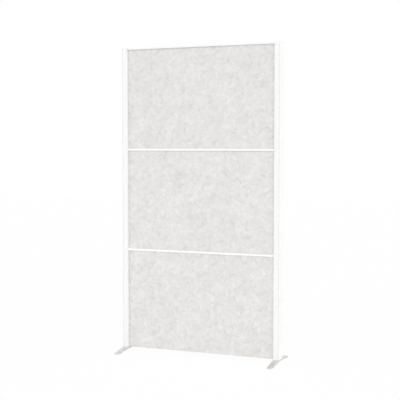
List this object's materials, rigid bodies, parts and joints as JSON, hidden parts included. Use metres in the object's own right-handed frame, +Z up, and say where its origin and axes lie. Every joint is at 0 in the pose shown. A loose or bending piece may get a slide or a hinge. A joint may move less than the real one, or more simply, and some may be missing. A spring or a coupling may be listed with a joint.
{
  "type": "acoustic divider screen",
  "caption": "Free-standing acoustic divider screen: white extruded posts on arched feet hold mottled grey felt panels between slim rails.",
  "frame": {"origin": "on the floor, under the middle of the screen", "axes": "+Z up, +X along the screen to the right as seen from the front, -Y out of the front face"},
  "size_m": [0.942, 0.315, 1.74],
  "materials": {
    "frame_white": "satin",
    "cap_white": "satin",
    "felt": "matte",
    "core": "matte",
    "seal": "matte",
    "steel": "satin",
    "foot_grey": "satin",
    "glide": "matte"
  },
  "bodies": {
    "root": {"left_post": "frame_white", "right_post": "frame_white", "left_post_cap": "cap_white", "right_post_cap": "cap_white", "left_slot_cover": "cap_white", "right_slot_cover": "cap_white", "top_rail": "frame_white", "upper_divider_rail": "frame_white", "lower_divider_rail": "frame_white", "bottom_rail": "frame_white", "upper_front_felt": "felt", "upper_core": "core", "upper_rear_felt": "felt", "middle_front_felt": "felt", "middle_core": "core", "middle_rear_felt": "felt", "lower_front_felt": "felt", "lower_core": "core", "lower_rear_felt": "felt", "left_edge_seals": "seal", "right_edge_seals": "seal", "left_rail_screws": "steel", "right_rail_screws": "steel", "left_foot": "foot_grey", "right_foot": "foot_grey", "left_foot_screws": "steel", "right_foot_screws": "steel", "left_foot_glides": "glide", "right_foot_glides": "glide"}
  },
  "joints": []
}
